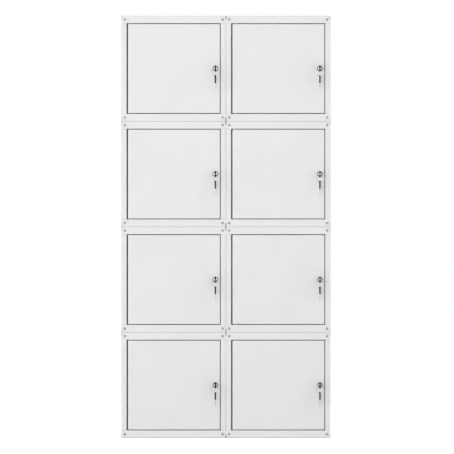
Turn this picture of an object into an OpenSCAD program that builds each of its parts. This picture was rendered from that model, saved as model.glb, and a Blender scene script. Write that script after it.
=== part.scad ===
// A bank of key-locked parcel lockers: identical folded-steel cubes bolted side by side and
// stacked, each with a flush door on concealed pivots and a cam lock with two keys on a ring.
// The origin is on the floor under the middle of the bank; the doors face -Y.

/* [Bank] */
// Lockers side by side
columns = 2; // [1:1:2]
// Lockers on top of each other
rows = 4; // [1:1:4]

/* [Locker] */
// Width of one locker
locker_w = 346.5; // [260:0.5:460]
// Height of one locker
locker_h = 350; // [260:1:460]
// Depth of one locker
locker_d = 380; // [250:5:500]
// Thickness of the sheet steel
sheet = 0.8; // [0.6:0.1:1]
// Radius of the folds, at the middle of the sheet
fold_r = 1.2; // [0.8:0.1:1.6]
// Width of the upright front flanges
stile_w = 17.5; // [17:0.5:30]
// Height of the top and bottom front flanges
rail_h = 25; // [22:0.5:40]
// Height of the roof's, floor's and back's hidden flanges
flange_w = 12; // [10:0.5:16]
// Gap between lockers that stand side by side
side_gap = 0.2; // [0.1:0.1:1]
// Width of the open corner seam in the front of the roof and floor
seam_w = 1.6; // [1:0.1:2.5]
// Depth of the open corner seam
seam_d = 4; // [3:0.5:6]

/* [Door] */
// Depth of the door's folded edge
door_t = 15; // [13:0.5:18]
// Gap beside the door on the hinge side
hinge_gap = 4; // [3.2:0.1:5]
// Gap on the door's other three sides
door_gap = 2.2; // [1.4:0.1:2.5]
// Corner radius on the door's lock side
door_corner_r = 3; // [1.5:0.5:6]
// Width of the door's inward return
return_w = 6; // [4:0.5:6.5]
// Pivot's distance from the door's hinge edge
pivot_in = 10; // [9:0.5:11]
// Pivot's distance behind the door's front face
pivot_back = 8; // [7.5:0.5:8.5]
// Pivot pin's radius
pin_r = 2; // [1.5:0.1:2.3]
// Width of the stop flange that the door closes against
stop_w = 9; // [7:0.5:9.5]
// Radius of the rubber buffers
buffer_r = 3.2; // [2:0.1:3.4]
// Height of the rubber buffers
buffer_h = 1.3; // [1:0.1:2]

/* [Lock] */
// Lock's distance from the door opening's edge
lock_inset = 17.5; // [17.5:0.5:24]
// Radius of the lock's front rim
lock_head_r = 9; // [8.8:0.1:11]
// Height of the lock's front rim
lock_head_h = 3.5; // [2:0.1:5]
// Radius of the lock's threaded body
lock_body_r = 8; // [7.5:0.1:8.2]
// Radius of the turning plug
plug_r = 5.4; // [5.2:0.1:6]
// Reach of the cam from the lock's axis
cam_reach = 32; // [28:0.5:34]
// Thickness of the cam
cam_t = 2; // [1.5:0.1:3]

/* [Keys] */
// Length of the key's bow
bow_l = 26; // [22:0.5:32]
// Width of the key's bow
bow_w = 20; // [16:0.5:24]
// Thickness of the key's bow
bow_t = 4.5; // [3.5:0.1:6]
// Length of the key's blade
blade_l = 20.4; // [17:0.1:21]
// Width of the key's blade
blade_w = 8; // [6:0.1:8.2]
// Thickness of the key's blade
blade_t = 2; // [1.5:0.1:2.4]
// Radius of the key ring, at the middle of its wire
ring_r = 12.5; // [10:0.5:16]
// Radius of the key ring's wire
wire_r = 0.75; // [0.5:0.05:0.8]

/* [Fasteners] */
// Distance of the front screws from the locker's side
screw_side = 11; // [9:0.5:12]
// Distance of the front screws from the locker's top and bottom
screw_end = 12.5; // [9:0.5:14]
// Radius of the frame screws' heads
screw_head_r = 4; // [3:0.1:4.5]
// Radius of the joining bolts
bolt_r = 3; // [2:0.1:4]
// Distance of the joining bolts from the locker's edges
bolt_in = 70; // [50:1:90]
// Distance between the two wall-fixing holes
wall_spacing = 200; // [100:5:200]
// Radius of the wall-fixing holes
wall_hole_r = 4; // [3:0.1:5]
// Distance of the wall-fixing holes below the roof
wall_drop = 60; // [40:1:80]

/* [Hidden] */
$fn = 48;
fit = 0.1;          // gap between parts that are bolted together
butt = 0.3;         // gap between edges that meet
running = 0.06;     // radial clearance of turning parts
seat = 0.05;        // gap between faces that are screwed together
door_rest = 0.3;    // gap between the door and what it rests on
cut = 1;            // how far a cutting shape runs past the part

opening_left = stile_w;
opening_right = locker_w - stile_w;
opening_bottom = rail_h;
opening_top = locker_h - rail_h;

door_left = opening_left + hinge_gap;
door_right = opening_right - door_gap;
door_bottom = opening_bottom + door_gap;
door_top = opening_top - door_gap;
pivot_x = door_left + pivot_in;

stop_y = door_t + door_rest + buffer_h;      // front of the stop flange
stop_back = stop_y + sheet;
lip_past = 0.5;                              // how far the lips reach past the door's edge
lip_d = door_t + lip_past;                   // depth of the lips above and below the door
back_y = locker_d - 2 * sheet - fit;         // front of the back panel
tongue_in = 3;                               // how much narrower the stile's tongue is, each side
tongue_short = 4;                            // gap between the tongue and the roof
tab_in = 8;                                  // distance of the side tabs from front and back
back_play = 0.6;                             // gap between the back panel and the sides
back_side = 2 * sheet + fit + back_play;
back_end = sheet + fold_r;                   // gap above and below it, clear of the folds

bush_flange_r = 3.2;
bush_wall = 0.9;
bush_snap = 0.4;                             // how far the collar stands out behind the sheet
bush_neck_r = pin_r + bush_wall;
bush_collar_r = bush_neck_r + bush_snap;
bush_flange_h = door_gap - door_rest;
bush_collar_h = 2;
pin_past = 1;                                // how far a pin runs past its bush

lock_x = opening_right - lock_inset;
lock_z = locker_h / 2;
plug_proud = 0.5;                            // how far the plug stands out of the rim
lock_body_past = 0.2;                        // how far the lock's body runs past the stop flange
lock_body_l = stop_back + lock_body_past;
cam_y = lock_body_l + butt;                  // end of the plug, where the cam is screwed on
cam_w = 14;
tang_w = 6;
cam_screw_r = 4;
cam_screw_h = 1.8;
lock_nut_r = 12.5;
lock_nut_h = 4.5;
keyway_l = blade_l + plug_proud;             // depth of the keyway from the plug's face
key_gap = 0.3;                               // gap between the key's bow and the plug
key_y = -lock_head_h - plug_proud - key_gap; // where the inserted key's blade starts

ring_hole_r = 2.5;
ring_hole_end = 4.5;                         // ring hole's distance from the end of the bow
ring_seat = 1;                               // wire's distance from the hole's middle
ring_web_t = 2.4;                            // bow's thickness around the ring hole
ring_dish_r = 4.2;
ring_y = key_y - bow_l + ring_hole_end;
ring_z = lock_z - ring_seat - ring_r;        // middle of the ring

screw_r = 2;
screw_head_h = 2.2;
screw_l = 7;
rear_screw_past = 0.3;                       // how far a rear screw runs past the back panel
rear_screw_l = 2 * sheet + fit + rear_screw_past;
rear_screw_x = 25;
bolt_head_r = 5.5;
bolt_head_h = 3.2;
nut_r = 5.8;
nut_h = 4.5;
bolt_past = 0.5;                             // how far a joining bolt runs past its nut
buffer_end = 40;                             // buffers' distance from the opening's top and bottom
buffer_in = 0.5;                             // buffers' distance from the stop flange's middle

count = columns * rows;
bank_w = columns * locker_w + (columns - 1) * side_gap;
FIXED = ["top_panels", "bottom_panels", "left_side_panels", "right_side_panels", "back_panels",
         "frame_screws", "pivot_bushes", "door_buffers", "joining_bolts", "joining_nuts"];
MOVING = ["door", "lock_housing", "lock_plug", "key", "key_ring", "spare_key"];

// ---- places -------------------------------------------------------------------------------

// Lockers are numbered in reading order, from the top left
function column_of(k) = (k - 1) % columns;
function row_of(k) = rows - 1 - floor((k - 1) / columns);
function has_left(k) = column_of(k) > 0;
function has_right(k) = column_of(k) < columns - 1;
function has_above(k) = row_of(k) < rows - 1;
function has_below(k) = row_of(k) > 0;

function left_of(k) = column_of(k) * (locker_w + side_gap) - bank_w / 2;

module in_locker(k) {
    translate([left_of(k), -locker_d / 2, row_of(k) * locker_h]) children();
}

module in_each_locker() {
    for (k = [1:count]) in_locker(k) children();
}

// Turns a shape that stands on its own Z to point into the locker
module pointing_back(x, y, z) {
    translate([x, y, z]) rotate([-90, 0, 0]) children();
}

module mirrored_x() {
    translate([locker_w, 0, 0]) mirror([1, 0, 0]) children();
}

module mirrored_z() {
    translate([0, 0, locker_h]) mirror([0, 0, 1]) children();
}

module along_x(from, to) {
    translate([from, 0, 0]) rotate([90, 0, 90]) linear_extrude(to - from) children();
}

module along_z(from, to) {
    translate([0, 0, from]) linear_extrude(to - from) children();
}

// ---- folded sheet -------------------------------------------------------------------------

// Section of a sheet folded square at each inner point of a path along its middle
module folded(path) {
    last = len(path) - 1;
    for (i = [0:last - 1]) {
        run = (path[i + 1] - path[i]) / norm(path[i + 1] - path[i]);
        from = path[i] + (i == 0 ? 0 : fold_r) * run;
        to = path[i + 1] - (i == last - 1 ? 0 : fold_r) * run;
        across = [run.y == 0 ? 0 : sheet, run.x == 0 ? 0 : sheet];
        low = [min(from.x, to.x), min(from.y, to.y)] - across / 2;
        translate(low) square([abs(to.x - from.x), abs(to.y - from.y)] + across);
    }
    if (last > 1) for (i = [1:last - 1]) {
        inwards = (path[i - 1] - path[i]) / norm(path[i - 1] - path[i])
                + (path[i + 1] - path[i]) / norm(path[i + 1] - path[i]);
        reach = fold_r + sheet;
        translate(path[i] + fold_r * inwards) intersection() {
            difference() {
                circle(fold_r + sheet / 2);
                circle(fold_r - sheet / 2);
            }
            translate([inwards.x > 0 ? -reach : 0, inwards.y > 0 ? -reach : 0]) square(reach);
        }
    }
}

// Roof with its front rail, lip and flanges; the floor is the same piece upside down
module roof(bolted) {
    mid = sheet / 2;
    profile = [[mid, opening_top], [mid, locker_h - mid], [locker_d - mid, locker_h - mid],
               [locker_d - mid, locker_h - flange_w]];
    lip = [[lip_d, opening_top + mid], [mid, opening_top + mid]];
    lip_from = opening_left + butt;
    lip_to = opening_right - butt;
    difference() {
        union() {
            along_x(0, lip_from) folded(profile);
            along_x(lip_from, lip_to) folded([lip[0], lip[1], profile[1], profile[2], profile[3]]);
            along_x(lip_to, locker_w) folded(profile);
            for (x = [0, locker_w - sheet]) translate([x, seam_d, locker_h - flange_w])
                cube([sheet, locker_d - seam_d - sheet - butt, flange_w]);
        }
        for (x = [-cut, locker_w - seam_w]) translate([x, -cut, locker_h - flange_w])
            cube([seam_w + cut, seam_d + cut, flange_w + cut]);
        for (x = [screw_side, locker_w - screw_side])
            pointing_back(x, -cut, locker_h - screw_end) cylinder(r = screw_r + fit, h = sheet + 2 * cut);
        for (x = [rear_screw_x, locker_w - rear_screw_x])
            pointing_back(x, locker_d - sheet - cut, locker_h - flange_w / 2)
                cylinder(r = screw_r + fit, h = sheet + 2 * cut);
        translate([pivot_x, pivot_back, opening_top - cut])
            cylinder(r = bush_neck_r + fit, h = sheet + 2 * cut);
        if (bolted) for (x = [bolt_in, locker_w - bolt_in])
            translate([x, locker_d / 2, locker_h - sheet - cut])
                cylinder(r = bolt_r + fit, h = sheet + 2 * cut);
    }
}

// Left side with its stile and back flange; the right side adds the stop flange
module side(with_stop, bolted) {
    mid = sheet / 2;
    jamb = with_stop
        ? [[stile_w + stop_w, stop_y + mid], [stile_w - mid, stop_y + mid]]
        : [[stile_w - mid, lip_d]];
    behind_rail = 2 * sheet + 2 * fit + butt;
    side_top = locker_h - flange_w - butt;
    stile_top = opening_top - butt;
    tab_x = sheet + fit;
    difference() {
        union() {
            along_z(opening_bottom + butt, stile_top)
                folded(concat(jamb, [[stile_w - mid, mid], [mid, mid], [mid, behind_rail + fold_r]]));
            along_z(flange_w + butt, side_top)
                folded([[mid, behind_rail], [mid, locker_d - mid], [flange_w, locker_d - mid]]);
            for (end = [0, 1]) translate([0, 0, end * locker_h]) mirror([0, 0, end]) {
                side_joggle(tab_x, locker_h - side_top);
                stile_tongue(locker_h - stile_top);
            }
        }
        for (z = [screw_end, locker_h - screw_end])
            pointing_back(screw_side, 0, z) cylinder(r = screw_r + fit, h = 2 * sheet + 2 * fit + cut);
        if (bolted) for (y = [bolt_in, locker_d - bolt_in])
            translate([-cut, y, locker_h / 2]) rotate([0, 90, 0])
                cylinder(r = bolt_r + fit, h = sheet + 2 * cut);
    }
}

// Edge of a side panel stepped inwards, to lie inside the floor's side flange
module side_joggle(tab_x, from_z) {
    tab_l = locker_d - 2 * tab_in;
    translate([0, tab_in, from_z]) cube([tab_x + sheet, tab_l, sheet]);
    translate([tab_x, tab_in, sheet + butt]) cube([sheet, tab_l, from_z - butt]);
}

// End of a stile stepped backwards, to lie behind the bottom rail and take its screw
module stile_tongue(from_z) {
    tongue_w = stile_w - 2 * tongue_in;
    translate([tongue_in, 0, from_z]) cube([tongue_w, 2 * sheet + fit, sheet]);
    translate([tongue_in, sheet + fit, sheet + tongue_short])
        cube([tongue_w, sheet, from_z - tongue_short]);
}

module back(with_wall_holes) {
    difference() {
        translate([back_side, back_y, back_end])
            cube([locker_w - 2 * back_side, sheet, locker_h - 2 * back_end]);
        for (x = [rear_screw_x, locker_w - rear_screw_x])
            for (z = [flange_w / 2, locker_h - flange_w / 2])
                pointing_back(x, back_y - cut, z) cylinder(r = screw_r + fit, h = sheet + 2 * cut);
        if (with_wall_holes) for (side_of = [-1, 1])
            pointing_back(locker_w / 2 + side_of * wall_spacing / 2, back_y - cut, locker_h - wall_drop)
                cylinder(r = wall_hole_r, h = sheet + 2 * cut);
    }
}

// ---- fasteners and small parts ------------------------------------------------------------

// Cross-recessed pan-head screw with its head's underside at the origin
module screw(length) {
    dome_r = 6;
    recess_w = 0.9;
    recess_l = 4.4;
    recess_d = 1.2;
    cylinder(r = screw_r, h = length);
    difference() {
        mirror([0, 0, 1]) rotate_extrude() intersection() {
            translate([0, screw_head_h - dome_r]) circle(dome_r);
            square([screw_head_r, screw_head_h]);
        }
        for (turn = [0, 90]) rotate(turn) translate([-recess_l / 2, -recess_w / 2, -screw_head_h - cut])
            cube([recess_l, recess_w, recess_d + cut]);
    }
}

module frame_screws_of_locker() {
    for (x = [screw_side, locker_w - screw_side])
        for (z = [screw_end, locker_h - screw_end]) pointing_back(x, 0, z) screw(screw_l);
    for (x = [rear_screw_x, locker_w - rear_screw_x])
        for (z = [flange_w / 2, locker_h - flange_w / 2])
            translate([x, locker_d, z]) rotate([90, 0, 0]) screw(rear_screw_l);
}

// Snap-in nylon bush for the top pivot
module bush() {
    difference() {
        union() {
            translate([0, 0, -bush_flange_h]) cylinder(r = bush_flange_r, h = bush_flange_h);
            cylinder(r = bush_neck_r, h = sheet + fit);
            translate([0, 0, sheet + fit]) cylinder(r = bush_collar_r, h = bush_collar_h);
        }
        translate([0, 0, -bush_flange_h - cut])
            cylinder(r = pin_r + running, h = bush_flange_h + sheet + fit + bush_collar_h + 2 * cut);
    }
}

module bush_pair() {
    translate([pivot_x, pivot_back, opening_top]) bush();
    mirrored_z() translate([pivot_x, pivot_back, opening_top]) bush();
}

module buffer_pair() {
    for (z = [opening_bottom + buffer_end, opening_top - buffer_end])
        pointing_back(opening_right - stop_w / 2 - buffer_in, door_t + door_rest, z)
            cylinder(r = buffer_r, h = buffer_h);
}

module bolt(grip) {
    translate([0, 0, -bolt_head_h]) cylinder(r = bolt_head_r, h = bolt_head_h);
    cylinder(r = bolt_r, h = grip + nut_h + bolt_past);
}

module nut(grip) {
    translate([0, 0, grip]) difference() {
        cylinder(r = nut_r, h = nut_h, $fn = 6);
        translate([0, 0, -cut]) cylinder(r = bolt_r + running, h = nut_h + 2 * cut);
    }
}

// Puts a bolt or nut where this locker is joined to the one on its right
module at_side_joints(k) {
    if (has_right(k)) for (y = [bolt_in, locker_d - bolt_in])
        translate([locker_w - sheet, y, locker_h / 2]) rotate([0, 90, 0]) children();
}

// Puts a bolt or nut where this locker is joined to the one below it
module at_floor_joints(k) {
    if (has_below(k)) for (x = [bolt_in, locker_w - bolt_in])
        translate([x, locker_d / 2, sheet]) rotate([180, 0, 0]) children();
}

// ---- door and lock ------------------------------------------------------------------------

// Outline of the door, rounded on the lock side, drawn in from its edge
module door_outline(inset) {
    corner = door_corner_r - inset;
    width = door_right - door_left - 2 * inset;
    height = door_top - door_bottom - 2 * inset;
    translate([door_left + inset, door_bottom + inset]) {
        square([width - corner, height]);
        translate([0, corner]) square([width, height - 2 * corner]);
        for (y = [corner, height - corner]) translate([width - corner, y]) circle(corner);
    }
}

module door_slab(inset, from, to) {
    translate([0, to, 0]) rotate([90, 0, 0]) linear_extrude(to - from) door_outline(inset);
}

module pivot_pin() {
    sunk = 4;
    translate([pivot_x, pivot_back, door_top - sunk])
        cylinder(r = pin_r, h = sunk + door_gap + sheet + fit + bush_collar_h + pin_past);
}

module door_of_locker() {
    return_end = 5;
    difference() {
        union() {
            difference() {
                door_slab(0, 0, door_t);
                door_slab(sheet, sheet, door_t + cut);
            }
            for (x = [door_left + sheet, door_right - sheet - return_w])
                translate([x - (x < pivot_x ? fit : 0), door_t - sheet, door_bottom + return_end])
                    cube([return_w + fit, sheet, door_top - door_bottom - 2 * return_end]);
            pivot_pin();
            mirrored_z() pivot_pin();
        }
        pointing_back(lock_x, -cut, lock_z) cylinder(r = lock_body_r + fit, h = sheet + 2 * cut);
    }
}

// Rim and threaded body of the lock, with the nut that holds it in the door
module lock_housing_of_locker() {
    chamfer = 0.8;
    pointing_back(lock_x, 0, lock_z) {
        difference() {
            union() {
                translate([0, 0, -lock_head_h]) cylinder(r1 = lock_head_r - chamfer, r2 = lock_head_r, h = chamfer);
                translate([0, 0, chamfer - lock_head_h]) cylinder(r = lock_head_r, h = lock_head_h - chamfer);
                cylinder(r = lock_body_r, h = lock_body_l);
            }
            translate([0, 0, -lock_head_h - cut])
                cylinder(r = plug_r + running, h = lock_head_h + lock_body_l + 2 * cut);
        }
        translate([0, 0, sheet]) difference() {
            cylinder(r = lock_nut_r, h = lock_nut_h, $fn = 6);
            translate([0, 0, -cut]) cylinder(r = lock_body_r + fit, h = lock_nut_h + 2 * cut);
        }
    }
}

// Turning plug with its keyway, its cam hanging down (unlocked) and the cam's screw
module lock_plug_of_locker() {
    face = -lock_head_h - plug_proud;
    slot_w = blade_t + 2 * fit;
    slot_h = blade_w + 4 * fit;
    pointing_back(lock_x, 0, lock_z) {
        difference() {
            translate([0, 0, face]) cylinder(r = plug_r, h = cam_y - face);
            translate([-slot_w / 2, -slot_h / 2, face - cut]) cube([slot_w, slot_h, keyway_l + cut]);
        }
        translate([-tang_w / 2, -tang_w / 2, cam_y]) cube([tang_w, tang_w, cam_t + seat]);
        translate([0, 0, cam_y + seat]) linear_extrude(cam_t) difference() {
            union() {
                circle(cam_w / 2);
                translate([-cam_w / 2, 0]) square([cam_w, cam_reach - cam_w / 2]);
                translate([0, cam_reach - cam_w / 2]) circle(cam_w / 2);
            }
            square(tang_w + 2 * fit, center = true);
        }
        translate([0, 0, cam_y + cam_t + 2 * seat]) cylinder(r = cam_screw_r, h = cam_screw_h);
    }
}

// ---- keys ---------------------------------------------------------------------------------

// Key lying along Z with its blade up and the end of its blade's root at the origin
module key_shape() {
    corner = 6.5;
    tip = 2.5;
    notches = 4;
    notch_d = 1.4;
    notch_w = 1.2;                           // half of a notch's width at the blade's edge
    notch_pitch = 3.2;
    first_notch = 5.4;
    half = blade_w / 2;
    teeth = [for (i = [0:notches - 1]) for (step = [[-notch_w, 0], [0, notch_d], [notch_w, 0]])
        [half - step.y, first_notch + notch_pitch * i + step.x]];
    rotate([90, 0, 90]) {
        translate([0, 0, -blade_t / 2]) linear_extrude(blade_t) polygon(concat(
            [[-half, -fit], [half, -fit]], teeth,
            [[half, blade_l - tip], [half - tip, blade_l], [tip - half, blade_l], [-half, blade_l - tip]]));
        difference() {
            translate([0, 0, -bow_t / 2]) linear_extrude(bow_t) {
                translate([-bow_w / 2, corner - bow_l]) square([bow_w, bow_l - 2 * corner]);
                translate([corner - bow_w / 2, -bow_l]) square([bow_w - 2 * corner, bow_l]);
                for (x = [-1, 1]) for (y = [corner - bow_l, -corner])
                    translate([x * (bow_w / 2 - corner), y]) circle(corner);
            }
            translate([0, ring_hole_end - bow_l, -bow_t]) cylinder(r = ring_hole_r, h = 2 * bow_t);
            for (face = [0, 1]) mirror([0, 0, face])
                translate([0, ring_hole_end - bow_l, ring_web_t / 2]) cylinder(r = ring_dish_r, h = bow_t);
        }
    }
}

module key_of_locker() {
    pointing_back(lock_x, key_y, lock_z) key_shape();
}

module ring_of_locker() {
    pointing_back(lock_x, ring_y, ring_z) rotate_extrude() translate([ring_r, 0]) circle(wire_r);
}

module spare_key_of_locker() {
    hole_z = ring_z - ring_r - ring_seat;
    translate([lock_x, ring_y, hole_z + ring_hole_end - bow_l]) mirror([0, 0, 1]) key_shape();
}

// ---- the named parts ----------------------------------------------------------------------

module top_panels() {
    color("whitesmoke") for (k = [1:count]) in_locker(k) roof(has_above(k));
}

module bottom_panels() {
    color("whitesmoke") for (k = [1:count]) in_locker(k) mirrored_z() roof(has_below(k));
}

module left_side_panels() {
    color("whitesmoke") for (k = [1:count]) in_locker(k) side(false, has_left(k));
}

module right_side_panels() {
    color("whitesmoke") for (k = [1:count]) in_locker(k) mirrored_x() side(true, has_right(k));
}

module back_panels() {
    color("whitesmoke") for (k = [1:count]) in_locker(k) back(!has_above(k));
}

module frame_screws() {
    color("silver") in_each_locker() frame_screws_of_locker();
}

module pivot_bushes() {
    color("ivory") in_each_locker() bush_pair();
}

module door_buffers() {
    color("dimgray") in_each_locker() buffer_pair();
}

module joining_bolts() {
    color("silver") for (k = [1:count]) in_locker(k) {
        at_side_joints(k) bolt(2 * sheet + side_gap);
        at_floor_joints(k) bolt(2 * sheet);
    }
}

module joining_nuts() {
    color("silver") for (k = [1:count]) in_locker(k) {
        at_side_joints(k) nut(2 * sheet + side_gap);
        at_floor_joints(k) nut(2 * sheet);
    }
}

module door(k) {
    color("white") in_locker(k) door_of_locker();
}

module lock_housing(k) {
    color("lightgray") in_locker(k) lock_housing_of_locker();
}

module lock_plug(k) {
    color("darkgray") in_locker(k) lock_plug_of_locker();
}

module key(k) {
    color("black") in_locker(k) key_of_locker();
}

module key_ring(k) {
    color("silver") in_locker(k) ring_of_locker();
}

module spare_key(k) {
    color("black") in_locker(k) spare_key_of_locker();
}

top_panels();
bottom_panels();
left_side_panels();
right_side_panels();
back_panels();
frame_screws();
pivot_bushes();
door_buffers();
joining_bolts();
joining_nuts();
for (k = [1:count]) {
    door(k);
    lock_housing(k);
    lock_plug(k);
    key(k);
    key_ring(k);
    spare_key(k);
}
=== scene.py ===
"""Looks of the parcel locker bank: powder-coated steel cubes with cam locks and hanging keys.

Every length is in metres in the CAD frame: +Z up, doors facing -Y, the floor at z = 0.
"""
import math

import bmesh
import bpy
from mathutils import Matrix, Vector


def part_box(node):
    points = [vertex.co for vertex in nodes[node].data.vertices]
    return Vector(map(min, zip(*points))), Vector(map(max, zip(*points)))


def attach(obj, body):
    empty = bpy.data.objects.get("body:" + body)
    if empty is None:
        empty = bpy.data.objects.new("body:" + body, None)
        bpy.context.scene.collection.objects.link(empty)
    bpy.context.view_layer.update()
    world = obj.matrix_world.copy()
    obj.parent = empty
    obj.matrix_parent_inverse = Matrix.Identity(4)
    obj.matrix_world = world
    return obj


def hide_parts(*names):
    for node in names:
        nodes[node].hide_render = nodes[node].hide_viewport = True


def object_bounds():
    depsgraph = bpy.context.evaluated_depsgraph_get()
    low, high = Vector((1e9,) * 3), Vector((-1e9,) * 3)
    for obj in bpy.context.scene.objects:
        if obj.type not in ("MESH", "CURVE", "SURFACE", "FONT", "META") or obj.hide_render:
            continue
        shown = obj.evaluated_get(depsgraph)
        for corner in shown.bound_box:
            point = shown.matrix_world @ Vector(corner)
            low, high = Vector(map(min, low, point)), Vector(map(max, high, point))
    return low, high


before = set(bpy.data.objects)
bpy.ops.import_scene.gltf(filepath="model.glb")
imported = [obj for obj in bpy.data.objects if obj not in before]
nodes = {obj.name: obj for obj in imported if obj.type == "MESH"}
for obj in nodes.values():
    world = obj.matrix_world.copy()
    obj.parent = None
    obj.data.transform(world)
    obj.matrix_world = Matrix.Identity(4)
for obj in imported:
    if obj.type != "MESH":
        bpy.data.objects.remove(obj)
cad_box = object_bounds()

MM = 0.001
LOCKERS = sum(name.startswith("door_") and name != "door_buffers" for name in nodes)

# ---- sizes of the detailed pieces, the same as their CAD nodes ------------------------------
SHEET = 0.8 * MM
FIT = 0.1 * MM                  # gap between parts that are bolted together
FOLD = 1.3 * MM                 # outer radius of the door's folded edges
DOOR_CORNER = {"hinge": 0.8 * MM, "lock": 3.0 * MM}
RETURN_W = 6.0 * MM
RETURN_END = 5.0 * MM
PIN_R = 2.0 * MM
DOOR_GAP = 2.2 * MM
BUSH_COLLAR_H = 2.0 * MM
PIN_PAST = 1.0 * MM             # how far a pivot pin reaches past its bush
PIN_OUT = DOOR_GAP + SHEET + FIT + BUSH_COLLAR_H + PIN_PAST
PIN_IN = 4.0 * MM
PIVOT_IN = 10.0 * MM
PIVOT_BACK = 8.0 * MM
LOCK_HEAD_R = 9.0 * MM
LOCK_HEAD_H = 3.5 * MM
LOCK_BODY_R = 8.0 * MM
LOCK_BORE_R = 5.46 * MM
LOCK_NUT_R = 12.5 * MM
LOCK_NUT_H = 4.5 * MM
BOW_L = 26.0 * MM
BOW_W = 20.0 * MM
BOW_T = 4.5 * MM
BOW_CORNER = 6.5 * MM
RING_HOLE_R = 2.5 * MM
RING_HOLE_END = 4.5 * MM
RING_DISH_R = 4.2 * MM
RING_WEB_T = 2.4 * MM
BLADE_L = 20.4 * MM
BLADE_W = 8.0 * MM
BLADE_T = 2.0 * MM
NOTCHES = 4
NOTCH_D = 1.4 * MM
NOTCH_HALF_W = 1.2 * MM
NOTCH_PITCH = 3.2 * MM
FIRST_NOTCH = 5.4 * MM
RING_R = 12.5 * MM


# ---- materials ------------------------------------------------------------------------------
# Painted shade in gaps and corners: the paint fades to this near-black colour within this reach of a
# facing surface.
GAP_SHADE_REACH = 7.0 * MM
PAINTED_GAP_SHADE = (0.03, 0.031, 0.031)


def new_material(name):
    """An empty node material with its shader, and a helper that adds and links nodes."""
    material = bpy.data.materials.new(name)
    material.use_nodes = True
    tree = material.node_tree
    shader = tree.nodes["Principled BSDF"]

    def add(kind, settings=None, **links):
        node = tree.nodes.new(kind)
        for key, value in (settings or {}).items():
            if hasattr(node, key):
                setattr(node, key, value)
            else:
                node.inputs[key].default_value = value
        for socket, source in links.items():
            tree.links.new(source, node.inputs[socket.replace("_", " ")])
        return node

    def link(source, socket):
        tree.links.new(source, shader.inputs[socket])

    coords = tree.nodes.new("ShaderNodeTexCoord").outputs["Object"]
    return material, shader, add, link, coords


def noise(add, coords, scale, detail=3.0, roughness=0.5):
    settings = {"Scale": scale, "Detail": detail, "Roughness": roughness}
    return add("ShaderNodeTexNoise", settings, Vector=coords).outputs["Fac"]


def ramp(add, source, low, high):
    """Maps a noise value to a colour between low and high."""
    node = add("ShaderNodeValToRGB", Fac=source)
    for element, position, colour in zip(node.color_ramp.elements, (0.35, 0.65), (low, high)):
        element.position = position
        element.color = (*colour, 1.0)
    return node.outputs["Color"]


def spread(add, source, low, high):
    """Maps a noise value to a number between low and high."""
    settings = {"From Min": 0.3, "From Max": 0.7, "To Min": low, "To Max": high}
    return add("ShaderNodeMapRange", settings, Value=source).outputs["Result"]


def bump(add, height, strength, distance, normal=None):
    settings = {"Strength": strength, "Distance": distance}
    links = {"Height": height}
    if normal is not None:
        links["Normal"] = normal
    return add("ShaderNodeBump", settings, **links).outputs["Normal"]


def powder_coat(name, colour, gloss=0.40):
    """Baked powder paint: fine orange peel, a faint waviness of the sheet and handling marks.

    Painted shade: narrow gaps and tight corners are painted darker, towards near black, so that
    they draw a firm dark line. The reach set above is how near a facing surface has to be.
    """
    material, shader, add, link, coords = new_material(name)
    tint = noise(add, coords, 7.0, 4.0)
    darker = tuple(channel * 0.975 for channel in colour)
    painted = ramp(add, tint, darker, colour)
    # Painted shade: ambient occlusion mixes the paint colour towards near black in narrow gaps and
    # corners.
    gap_occlusion = add("ShaderNodeAmbientOcclusion", {"samples": 8, "Distance": GAP_SHADE_REACH}).outputs["AO"]
    shade_ramp = {"From Min": 0.2, "From Max": 0.66}
    unshaded = add("ShaderNodeMapRange", shade_ramp, Value=gap_occlusion).outputs["Result"]
    mix = add("ShaderNodeMix", {"data_type": "RGBA"})
    mix.inputs["A"].default_value = (*PAINTED_GAP_SHADE, 1.0)
    for source, socket in ((unshaded, "Factor"), (painted, "B")):
        mix.id_data.links.new(source, mix.inputs[socket])
    link(mix.outputs["Result"], "Base Color")
    smudges = noise(add, coords, 22.0, 6.0, 0.65)
    link(spread(add, smudges, gloss - 0.05, gloss + 0.08), "Roughness")
    waviness = bump(add, noise(add, coords, 9.0, 1.0), 0.10, 0.6 * MM)
    peel = noise(add, coords, 620.0, 2.0)
    grain = noise(add, coords, 2600.0, 1.0)
    peeled = bump(add, peel, 0.28, 0.05 * MM, waviness)
    link(bump(add, grain, 0.10, 0.02 * MM, peeled), "Normal")
    shader.inputs["Specular IOR Level"].default_value = 0.45
    return material


def plated(name, colour, roughness, streak=(60.0, 60.0, 60.0), strength=0.06):
    """Plated metal with fine streaks or mottling."""
    material, shader, add, link, coords = new_material(name)
    stretched = add("ShaderNodeMapping", {"Scale": streak}, Vector=coords).outputs["Vector"]
    mottling = noise(add, stretched, 12.0, 5.0, 0.6)
    darker = tuple(channel * 0.86 for channel in colour)
    link(ramp(add, mottling, darker, colour), "Base Color")
    link(spread(add, mottling, roughness - 0.03, roughness + 0.07), "Roughness")
    link(bump(add, noise(add, stretched, 40.0, 3.0), strength, 0.02 * MM), "Normal")
    shader.inputs["Metallic"].default_value = 1.0
    return material


def moulded(name, colour, roughness, grain_scale, grain_strength, specular=0.5):
    """Moulded plastic or rubber with a spark-eroded grain."""
    material, shader, add, link, coords = new_material(name)
    shade = noise(add, coords, 90.0, 3.0)
    lighter = tuple(min(1.0, channel * 1.25 + 0.002) for channel in colour)
    link(ramp(add, shade, colour, lighter), "Base Color")
    rubbed = noise(add, coords, 240.0, 4.0, 0.6)
    link(spread(add, rubbed, roughness - 0.06, roughness + 0.08), "Roughness")
    link(bump(add, noise(add, coords, grain_scale, 2.0), grain_strength, 0.03 * MM), "Normal")
    shader.inputs["Specular IOR Level"].default_value = specular
    return material


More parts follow.
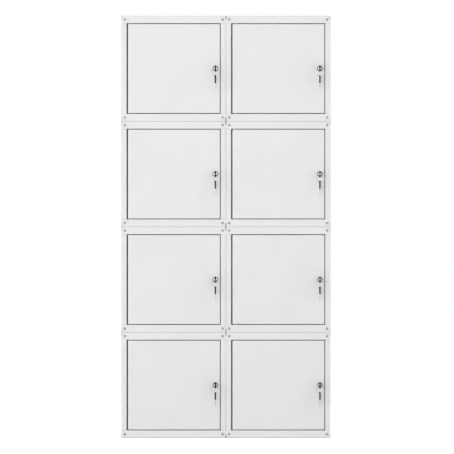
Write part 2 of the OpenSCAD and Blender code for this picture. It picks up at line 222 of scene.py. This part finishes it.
WHITE_FRAME = powder_coat("white_frame_coat", (0.815, 0.825, 0.82))
WHITE_DOOR = powder_coat("white_door_coat", (0.80, 0.812, 0.806), 0.36)
ZINC = plated("zinc_plate", (0.42, 0.43, 0.44), 0.34)
CHROME = plated("polished_chrome", (0.42, 0.43, 0.44), 0.11, strength=0.03)
NICKEL = plated("satin_nickel", (0.52, 0.52, 0.51), 0.26, (20.0, 160.0, 160.0))
RING_STEEL = plated("ring_steel", (0.66, 0.67, 0.68), 0.14, strength=0.03)
BLACK_PLASTIC = moulded("black_key_plastic", (0.006, 0.006, 0.0065), 0.48, 2400.0, 0.25, 0.15)
NYLON = moulded("natural_nylon", (0.74, 0.74, 0.70), 0.44, 1500.0, 0.12)
RUBBER = moulded("buffer_rubber", (0.022, 0.022, 0.024), 0.70, 1900.0, 0.35, 0.3)


# ---- mesh helpers ---------------------------------------------------------------------------
def mesh_from(bm, name):
    bmesh.ops.remove_doubles(bm, verts=bm.verts, dist=0.5e-6)
    bmesh.ops.recalc_face_normals(bm, faces=bm.faces)
    mesh = bpy.data.meshes.new(name)
    bm.to_mesh(mesh)
    bm.free()
    for polygon in mesh.polygons:
        polygon.use_smooth = True
    return mesh


def evaluated_mesh(obj, name):
    """The object's mesh with its modifiers applied; the object itself is removed."""
    bpy.context.scene.collection.objects.link(obj)
    bpy.context.view_layer.update()
    mesh = bpy.data.meshes.new_from_object(obj.evaluated_get(bpy.context.evaluated_depsgraph_get()))
    mesh.name = name
    bpy.data.objects.remove(obj)
    return mesh


def bevelled(mesh, width):
    """The mesh with its sharp edges rounded."""
    obj = bpy.data.objects.new("bevelling", mesh)
    modifier = obj.modifiers.new("bevel", "BEVEL")
    modifier.width = width
    modifier.segments = 2
    modifier.limit_method = "ANGLE"
    modifier.angle_limit = math.radians(35)
    modifier.harden_normals = True
    return evaluated_mesh(obj, mesh.name)


def joined(meshes, name, materials):
    """One mesh from several, each with its own place in the material list."""
    bm = bmesh.new()
    for mesh, index in meshes:
        before = len(bm.faces)
        bm.from_mesh(mesh)
        bm.faces.ensure_lookup_table()
        for face in bm.faces[before:]:
            face.material_index = index
    result = bpy.data.meshes.new(name)
    bm.to_mesh(result)
    bm.free()
    for material in materials:
        result.materials.append(material)
    return result


def lathe(profile, name, sides=64):
    """A solid of revolution about local Z from (radius, height) points; closed if it ends at 0."""
    bm = bmesh.new()
    rings = []
    for radius, height in profile:
        if radius < 1e-7:
            rings.append([bm.verts.new((0.0, 0.0, height))] * sides)
        else:
            ring = circle((0.0, 0.0), radius, sides)
            rings.append([bm.verts.new((x, y, height)) for x, y in ring])
    pairs = list(zip(rings, rings[1:]))
    if profile[0][0] > 1e-7 and profile[-1][0] > 1e-7:
        pairs.append((rings[-1], rings[0]))
    for low, high in pairs:
        for i in range(sides):
            j = (i + 1) % sides
            corners = list(dict.fromkeys((low[i], low[j], high[j], high[i])))
            if len(corners) > 2:
                bm.faces.new(corners)
    return mesh_from(bm, name)


def arc(centre, radius, start, end, steps):
    """Points on an arc, angles in degrees."""
    angles = [math.radians(start + (end - start) * i / steps) for i in range(steps + 1)]
    return [(centre[0] + radius * math.cos(a), centre[1] + radius * math.sin(a)) for a in angles]


def rounded_rectangle(low, high, radii, steps=6):
    """Outline from the lower left corner, with a radius for each corner in turn."""
    (left, bottom), (right, top) = low, high
    corners = ((left, bottom, 180), (right, bottom, 270), (right, top, 0), (left, top, 90))
    points = []
    for (x, y, start), radius in zip(corners, radii):
        inward_x = radius if x == left else -radius
        inward_y = radius if y == bottom else -radius
        points += arc((x + inward_x, y + inward_y), radius, start, start + 90, steps)
    return points


def circle(centre, radius, steps=40):
    return arc(centre, radius, 0, 360, steps)[:-1]


def plate(loops, thickness, edge, name, resolution=2):
    """A flat plate with rounded edges, centred on its thickness: one outline, then its holes."""
    largest_round_face = 4e-6
    curve = bpy.data.curves.new(name, "CURVE")
    curve.dimensions = "2D"
    curve.fill_mode = "BOTH"
    curve.extrude = thickness / 2 - edge
    curve.bevel_depth = edge
    curve.bevel_resolution = resolution
    curve.offset = -edge
    for loop in loops:
        spline = curve.splines.new("POLY")
        spline.points.add(len(loop) - 1)
        for point, (x, y) in zip(spline.points, loop):
            point.co = (x, y, 0.0, 1.0)
        spline.use_cyclic_u = True
    mesh = evaluated_mesh(bpy.data.objects.new(name, curve), name)
    bpy.data.curves.remove(curve)
    bm = bmesh.new()
    bm.from_mesh(mesh)
    bmesh.ops.remove_doubles(bm, verts=bm.verts, dist=1e-6)
    bm.to_mesh(mesh)
    bm.free()
    for polygon in mesh.polygons:
        polygon.use_smooth = polygon.area < largest_round_face
    return mesh


def tube(path, radius, name, sides=12):
    """A round wire along an open path in the local XZ plane, with rounded ends."""
    bm = bmesh.new()
    rings = []
    for i, point in enumerate(path):
        along = (path[min(i + 1, len(path) - 1)] - path[max(i - 1, 0)]).normalized()
        side = along.cross(Vector((0, 1, 0))).normalized()
        up = side.cross(along)
        section = circle((0.0, 0.0), radius, sides)
        rings.append([bm.verts.new(point + u * side + v * up) for u, v in section])
    for low, high in zip(rings, rings[1:]):
        for k in range(sides):
            bm.faces.new((low[k], low[(k + 1) % sides], high[(k + 1) % sides], high[k]))
    for ring in (rings[0], rings[-1]):
        bm.faces.new(ring)
    return mesh_from(bm, name)


def place(mesh, matrix, name, body, replaced):
    """Puts a copy of the mesh in the CAD frame as a piece that rides on a body and replaces a node."""
    data = mesh.copy()
    data.name = name
    data.transform(matrix)
    if matrix.determinant() < 0:
        data.flip_normals()
    piece = bpy.data.objects.new(name, data)
    bpy.context.scene.collection.objects.link(piece)
    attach(piece, body)
    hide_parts(replaced)
    return piece


def at(origin, u, v, w):
    """The matrix that puts local X, Y and Z along u, v and w at origin."""
    matrix = Matrix.Identity(4)
    for column, axis in enumerate((u, v, w, origin)):
        for row in range(3):
            matrix[row][column] = axis[row]
    return matrix


# ---- CAD nodes that stay --------------------------------------------------------------------
def finish_node(name, material, edge=None, segments=2):
    """Gives a CAD node its material and softens its sharp edges."""
    obj = nodes[name]
    obj.data.materials.clear()
    obj.data.materials.append(material)
    if edge is None:
        return
    weld = obj.modifiers.new("weld", "WELD")
    weld.merge_threshold = 2e-6
    bevel = obj.modifiers.new("soft_edges", "BEVEL")
    bevel.width = edge
    bevel.segments = segments
    bevel.limit_method = "ANGLE"
    bevel.angle_limit = math.radians(40)
    bevel.harden_normals = True


def finish_cad_nodes():
    for name in ("top_panels", "bottom_panels", "left_side_panels", "right_side_panels"):
        finish_node(name, WHITE_FRAME, 0.18 * MM)
    finish_node("back_panels", WHITE_FRAME)
    finish_node("frame_screws", ZINC, 0.12 * MM, 1)
    finish_node("pivot_bushes", NYLON, 0.15 * MM)
    finish_node("door_buffers", RUBBER, 0.3 * MM)
    finish_node("joining_bolts", ZINC, 0.35 * MM)
    finish_node("joining_nuts", ZINC, 0.3 * MM)
    for k in range(1, LOCKERS + 1):
        finish_node(f"lock_plug_{k}", NICKEL, 0.12 * MM)


# ---- door -----------------------------------------------------------------------------------
def door_shell(width, height, depth):
    """Sheet-metal tray with rolled front edges, open at the back, from its lower hinge corner."""
    fold_steps = 5
    smallest_corner = 0.05 * MM
    turns = [math.pi / 2 * i / fold_steps for i in range(fold_steps + 1)]
    outer = [(FOLD * (1 - math.sin(t)), FOLD * (1 - math.cos(t))) for t in turns]
    inner_fold = FOLD - SHEET
    inner = [(SHEET + inner_fold * (1 - math.sin(t)), SHEET + inner_fold * (1 - math.cos(t)))
             for t in reversed(turns)]
    bm = bmesh.new()
    rings = []
    for inset, y in outer + [(0.0, depth), (SHEET, depth)] + inner:
        hinge = max(DOOR_CORNER["hinge"] - inset, smallest_corner)
        lock = max(DOOR_CORNER["lock"] - inset, smallest_corner)
        far_corner = (width - inset, height - inset)
        outline = rounded_rectangle((inset, inset), far_corner, (hinge, lock, lock, hinge))
        rings.append([bm.verts.new((x, y, z)) for x, z in outline])
    for low, high in zip(rings, rings[1:]):
        for i in range(len(low)):
            j = (i + 1) % len(low)
            bm.faces.new((low[i], low[j], high[j], high[i]))
    bm.faces.new(rings[0])
    bm.faces.new(rings[-1])
    return mesh_from(bm, "door_shell")


def box_mesh(low, high, name):
    bm = bmesh.new()
    bmesh.ops.create_cube(bm, size=1.0)
    size = Vector(high) - Vector(low)
    middle = (Vector(high) + Vector(low)) / 2
    for vert in bm.verts:
        vert.co = Vector((vert.co.x * size.x, vert.co.y * size.y, vert.co.z * size.z)) + middle
    return mesh_from(bm, name)


def drilled_shell(width, height, depth, lock_x, lock_z):
    """The door's shell with its hole for the lock."""
    hole_r = LOCK_BODY_R + FIT
    before, behind = -4 * MM, 6 * MM
    drill_mesh = lathe([(0, before), (hole_r, before), (hole_r, behind), (0, behind)], "drill", 48)
    drill_mesh.transform(at((lock_x, 0, lock_z), (1, 0, 0), (0, 0, -1), (0, 1, 0)))
    drill = bpy.data.objects.new("drill", drill_mesh)
    bpy.context.scene.collection.objects.link(drill)
    shell = bpy.data.objects.new("cut_shell", door_shell(width, height, depth))
    drilling = shell.modifiers.new("drill", "BOOLEAN")
    drilling.object = drill
    drilling.solver = "EXACT"
    tray = evaluated_mesh(shell, "tray")
    bpy.data.objects.remove(drill)
    return tray


def pivot_pin():
    """One pivot pin, which stands on the door's edge at z = 0."""
    chamfer = 0.5 * MM
    profile = [(0, -PIN_IN), (PIN_R, -PIN_IN), (PIN_R, PIN_OUT - chamfer),
               (PIN_R - chamfer, PIN_OUT), (0, PIN_OUT)]
    return lathe(profile, "pin", 32)


def build_doors():
    low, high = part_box("door_1")
    width, depth, height = high.x - low.x, high.y - low.y, high.z - low.z - 2 * PIN_OUT
    lock_low, lock_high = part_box("lock_housing_1")
    lock_x = (lock_low.x + lock_high.x) / 2 - low.x
    lock_z = (lock_low.z + lock_high.z) / 2 - low.z - PIN_OUT
    parts = [(drilled_shell(width, height, depth, lock_x, lock_z), 0)]
    overlap = 0.1 * MM
    for x in (SHEET - overlap, width - SHEET - RETURN_W + overlap):
        near = (x, depth - SHEET, RETURN_END)
        far = (x + RETURN_W, depth, height - RETURN_END)
        parts.append((bevelled(box_mesh(near, far, "return"), 0.2 * MM), 0))
    for z, up in ((height, 1), (0, -1)):
        pin = pivot_pin()
        pin.transform(at((PIVOT_IN, PIVOT_BACK, z), (1, 0, 0), (0, up, 0), (0, 0, up)))
        parts.append((pin, 1))
    door = joined(parts, "door_template", [WHITE_DOOR, ZINC])
    largest_round_face = 2e-4
    for polygon in door.polygons:
        polygon.use_smooth = polygon.area < largest_round_face or polygon.material_index == 1
    for k in range(1, LOCKERS + 1):
        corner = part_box(f"door_{k}")[0]
        place(door, Matrix.Translation((corner.x, corner.y, corner.z + PIN_OUT)), f"door_panel_{k}",
              f"door_{k}", f"door_{k}")


# ---- lock: local Z points into the locker, and z = 0 is the door's face ----------------------
def housing_mesh(body_l):
    """Rim with a coned bezel around a shallow dish, on a threaded body."""
    bezel = 2.1 * MM
    edge = 0.35 * MM
    lip = 0.7 * MM
    lip_slope = 0.15 * MM
    lip_drop = 0.1 * MM
    dish = 0.6 * MM
    rim_chamfer = 0.25 * MM
    lip_r = LOCK_HEAD_R - bezel
    profile = [(LOCK_BORE_R, dish - LOCK_HEAD_H), (lip_r - lip, dish - LOCK_HEAD_H),
               (lip_r - lip + lip_slope, lip_drop - LOCK_HEAD_H)]
    profile += arc((lip_r - edge, edge - LOCK_HEAD_H), edge, -90, -45, 4)
    profile += arc((LOCK_HEAD_R - edge, bezel - LOCK_HEAD_H), edge, -45, 0, 4)
    profile += [(LOCK_HEAD_R, -rim_chamfer), (LOCK_HEAD_R - rim_chamfer, 0.0), (LOCK_BODY_R, 0.0)]
    pitch = 1.0 * MM
    thread_d = 0.45 * MM
    plain_l = 0.6 * MM
    tip_chamfer = 0.5 * MM
    threads = int((body_l - 2 * plain_l) / pitch)
    for i in range(threads):
        start = plain_l + i * pitch
        profile += [(LOCK_BODY_R, start), (LOCK_BODY_R - thread_d, start + pitch / 2)]
    profile += [(LOCK_BODY_R, plain_l + threads * pitch), (LOCK_BODY_R - tip_chamfer, body_l),
                (LOCK_BORE_R, body_l)]
    return lathe(profile, "housing", 72)


def nut_mesh():
    """The hexagon nut behind the door's face, with rounded edges."""
    sides = 6
    steps = 6
    bm = bmesh.new()
    layers = []
    for z in (SHEET, SHEET + LOCK_NUT_H):
        hexagon = [bm.verts.new((x, y, z)) for x, y in circle((0, 0), LOCK_NUT_R, sides)]
        hole = [bm.verts.new((x, y, z)) for x, y in circle((0, 0), LOCK_BODY_R + FIT, steps * sides)]
        layers.append((hexagon, hole))
        for i in range(sides):
            inner = [hole[(steps * i + step) % len(hole)] for step in range(steps, -1, -1)]
            bm.faces.new([hexagon[i], hexagon[(i + 1) % sides]] + inner)
    for low, high in zip(*layers):
        for i in range(len(low)):
            j = (i + 1) % len(low)
            bm.faces.new((low[i], low[j], high[j], high[i]))
    nut = bevelled(mesh_from(bm, "nut"), 0.35 * MM)
    for polygon in nut.polygons:
        polygon.use_smooth = False
    return nut


def build_locks():
    low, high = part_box("lock_housing_1")
    housing = housing_mesh(high.y - low.y - LOCK_HEAD_H)
    lock = joined([(housing, 0), (nut_mesh(), 1)], "lock_template", [CHROME, ZINC])
    for k in range(1, LOCKERS + 1):
        low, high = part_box(f"lock_housing_{k}")
        centre = ((low.x + high.x) / 2, low.y + LOCK_HEAD_H, (low.z + high.z) / 2)
        place(lock, at(centre, (1, 0, 0), (0, 0, -1), (0, 1, 0)), f"lock_barrel_{k}",
              f"door_{k}", f"lock_housing_{k}")


# ---- keys -----------------------------------------------------------------------------------
def blade_parts():
    """A thin notched core with two raised ribs, which leave the blade's grooves between them."""
    half = BLADE_W / 2
    tip = 2.5 * MM
    root = -3.0 * MM
    edge = 0.15 * MM
    core_t = 1.1 * MM
    notches = []
    for i in reversed(range(NOTCHES)):
        middle = FIRST_NOTCH + i * NOTCH_PITCH
        notches += [(middle + NOTCH_HALF_W, half), (middle, half - NOTCH_D), (middle - NOTCH_HALF_W, half)]
    outline = [(root, -half), (BLADE_L - tip, -half), (BLADE_L, tip - half), (BLADE_L, half - tip),
               (BLADE_L - tip, half)] + notches + [(root, half)]
    lower_end, upper_end = BLADE_L - 0.6 * tip, BLADE_L - 0.3 * tip
    lower_rib = [(root, -half), (BLADE_L - tip, -half), (lower_end, -0.72 * half),
                 (lower_end, -0.22 * half), (root, -0.22 * half)]
    upper_rib = [(root, 0.05 * half), (upper_end, 0.05 * half),
                 (upper_end, 0.42 * half), (root, 0.42 * half)]
    return [plate([outline], core_t, edge, "blade_core"),
            plate([lower_rib], BLADE_T, edge, "blade_rib"),
            plate([upper_rib], BLADE_T, edge, "blade_rib")]


def bow_parts():
    """Moulded frame around a sunk panel with four grip ribs, and a thin web around the ring's hole."""
    border = 2.3 * MM
    overlap = 0.4 * MM
    dish_gap = 0.9 * MM
    panel_corner = 2.2 * MM
    panel_t = 3.2 * MM
    grips, grip_w, grip_t = 4, 0.9 * MM, 3.9 * MM
    grip_pitch, first_grip, grip_end = 2.4 * MM, 1.9 * MM, 1.4 * MM
    hole_x = RING_HOLE_END - BOW_L
    hole_centre = (hole_x, 0.0)
    left, right = hole_x + RING_DISH_R + dish_gap, -border
    top = BOW_W / 2 - border

    def rounded(low, high, radius, steps=6):
        return rounded_rectangle(low, high, (radius,) * 4, steps)

    outline = rounded((-BOW_L, -BOW_W / 2), (0.0, BOW_W / 2), BOW_CORNER, 10)
    window = rounded((left, -top), (right, top), panel_corner)
    panel = rounded((left - overlap, -top - overlap), (right + overlap, top + overlap), panel_corner)
    web = [circle(hole_centre, RING_DISH_R + overlap), circle(hole_centre, RING_HOLE_R)]
    parts = [plate([outline, window, circle(hole_centre, RING_DISH_R)], BOW_T, 0.7 * MM, "bow_frame", 3),
             plate([panel], panel_t, 0.1 * MM, "bow_panel"),
             plate(web, RING_WEB_T, 0.3 * MM, "bow_web")]
    for i in range(grips):
        x = left + first_grip + i * grip_pitch
        bar = rounded((x, grip_end - top), (x + grip_w, top - grip_end), 0.4 * MM, 4)
        parts.append(plate([bar], grip_t, 0.3 * MM, "grip"))
    return parts


def key_template():
    """The whole key; local X runs up the blade from its shoulder, and Z is across its thickness."""
    parts = [(mesh, 0) for mesh in bow_parts()] + [(mesh, 1) for mesh in blade_parts()]
    return joined(parts, "key_template", [BLACK_PLASTIC, NICKEL])


def split_ring_template():
    """Two turns of spring wire side by side, which cross over once; it stands in local XZ."""
    wire = 0.36 * MM
    lift = 0.38 * MM
    crossing = 0.35
    spare = 0.5
    steps = 220
    path = []
    for i in range(steps + 1):
        angle = spare + (4 * math.pi - 2 * spare) * i / steps
        across = min(1.0, max(0.0, (angle - 2 * math.pi + crossing) / (2 * crossing)))
        side = lift * (2 * across * across * (3 - 2 * across) - 1)
        turn = angle + math.pi / 2
        path.append(Vector((RING_R * math.cos(turn), side, RING_R * math.sin(turn))))
    ring = tube(path, wire, "split_ring")
    ring.materials.append(RING_STEEL)
    return ring


def build_keys():
    key = key_template()
    ring = split_ring_template()
    for k in range(1, LOCKERS + 1):
        low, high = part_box(f"key_{k}")
        shoulder = ((low.x + high.x) / 2, high.y - BLADE_L, (low.z + high.z) / 2)
        place(key, at(shoulder, (0, 1, 0), (0, 0, -1), (1, 0, 0)), f"door_key_{k}",
              f"key_{k}", f"key_{k}")
        low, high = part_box(f"spare_key_{k}")
        shoulder = ((low.x + high.x) / 2, (low.y + high.y) / 2, low.z + BLADE_L)
        place(key, at(shoulder, (0, 0, -1), (0, 1, 0), (1, 0, 0)), f"hanging_key_{k}",
              f"spare_{k}", f"spare_key_{k}")
        low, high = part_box(f"key_ring_{k}")
        place(ring, Matrix.Translation((low + high) / 2), f"split_ring_{k}",
              f"ring_{k}", f"key_ring_{k}")


# ---- stage, light and camera ----------------------------------------------------------------
def build_stage():
    floor_r = 40.0
    bm = bmesh.new()
    bmesh.ops.create_circle(bm, cap_ends=True, radius=floor_r, segments=96)
    floor = bpy.data.objects.new("studio_floor", mesh_from(bm, "studio_floor"))
    bpy.context.scene.collection.objects.link(floor)
    material, shader, add, link, coords = new_material("studio_floor_paint")
    link(ramp(add, noise(add, coords, 0.4, 2.0), (0.78, 0.78, 0.78), (0.80, 0.80, 0.80)), "Base Color")
    shader.inputs["Roughness"].default_value = 0.8
    shader.inputs["Specular IOR Level"].default_value = 0.1
    shader.inputs["Emission Color"].default_value = (1.0, 1.0, 1.0, 1.0)
    seen = add("ShaderNodeLightPath").outputs["Is Camera Ray"]
    glow = {"To Max": 0.62}
    link(add("ShaderNodeMapRange", glow, Value=seen).outputs["Result"], "Emission Strength")
    floor.data.materials.append(material)


def area_light(name, location, target, size, power):
    light = bpy.data.lights.new(name, "AREA")
    light.shape = "RECTANGLE"
    light.size, light.size_y = size
    light.energy = power
    obj = bpy.data.objects.new(name, light)
    obj.location = location
    obj.rotation_euler = (Vector(target) - Vector(location)).to_track_quat("-Z", "Y").to_euler()
    obj.visible_camera = False
    bpy.context.scene.collection.objects.link(obj)


def build_light():
    """Five softboxes in a studio that the camera sees as white, and that is darker low down."""
    world = bpy.data.worlds.new("studio")
    bpy.context.scene.world = world
    world.use_nodes = True
    tree = world.node_tree
    background = tree.nodes["Background"]
    coords = tree.nodes.new("ShaderNodeTexCoord")
    split = tree.nodes.new("ShaderNodeSeparateXYZ")
    tree.links.new(coords.outputs["Generated"], split.inputs["Vector"])
    room = tree.nodes.new("ShaderNodeValToRGB")
    room.color_ramp.elements[0].position = 0.45
    room.color_ramp.elements[0].color = (0.20, 0.20, 0.205, 1)
    room.color_ramp.elements[1].position = 0.85
    room.color_ramp.elements[1].color = (0.55, 0.55, 0.55, 1)
    halved = tree.nodes.new("ShaderNodeMapRange")
    halved.inputs["From Min"].default_value = -1.0
    tree.links.new(split.outputs["Z"], halved.inputs["Value"])
    tree.links.new(halved.outputs["Result"], room.inputs["Fac"])
    seen = tree.nodes.new("ShaderNodeLightPath")
    mix = tree.nodes.new("ShaderNodeMix")
    mix.data_type = "RGBA"
    tree.links.new(seen.outputs["Is Camera Ray"], mix.inputs["Factor"])
    tree.links.new(room.outputs["Color"], mix.inputs["A"])
    mix.inputs["B"].default_value = (1.0, 1.0, 1.0, 1.0)
    tree.links.new(mix.outputs["Result"], background.inputs["Color"])
    background.inputs["Strength"].default_value = 1.0
    middle = (Vector(cad_box[0]) + Vector(cad_box[1])) / 2
    area_light("front_softbox", (-1.1, -6.4, 1.1), middle, (4.2, 2.0), 128)
    area_light("top_softbox", (0.3, -3.0, 5.0), middle, (3.0, 3.0), 25)
    area_light("right_softbox", (4.2, -3.0, 1.9), middle, (2.0, 2.6), 24)
    area_light("left_softbox", (-4.2, -2.8, 1.9), middle, (2.0, 2.6), 30)
    area_light("rear_softbox", (-1.2, 4.6, 2.4), middle, (2.6, 2.6), 40)


def build_camera():
    """Level, square to the doors and far off, as a catalogue picture is taken."""
    view_width = 1.506
    centre_offset = 3.6 * MM
    centre_drop = 0.6 * MM
    distance = 30.0
    camera = bpy.data.cameras.new("camera")
    camera.sensor_width = 36.0
    camera.lens = camera.sensor_width * distance / view_width
    camera.clip_end = 300.0
    low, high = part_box("top_panels")
    obj = bpy.data.objects.new("camera", camera)
    obj.location = ((low.x + high.x) / 2 + centre_offset, low.y - distance,
                    (cad_box[0][2] + cad_box[1][2]) / 2 - centre_drop)
    obj.rotation_euler = (math.pi / 2, 0, 0)
    bpy.context.scene.collection.objects.link(obj)
    bpy.context.scene.camera = obj


finish_cad_nodes()
build_doors()
build_locks()
build_keys()
build_stage()
build_light()
build_camera()
bpy.context.scene.view_settings.view_transform = "Standard"
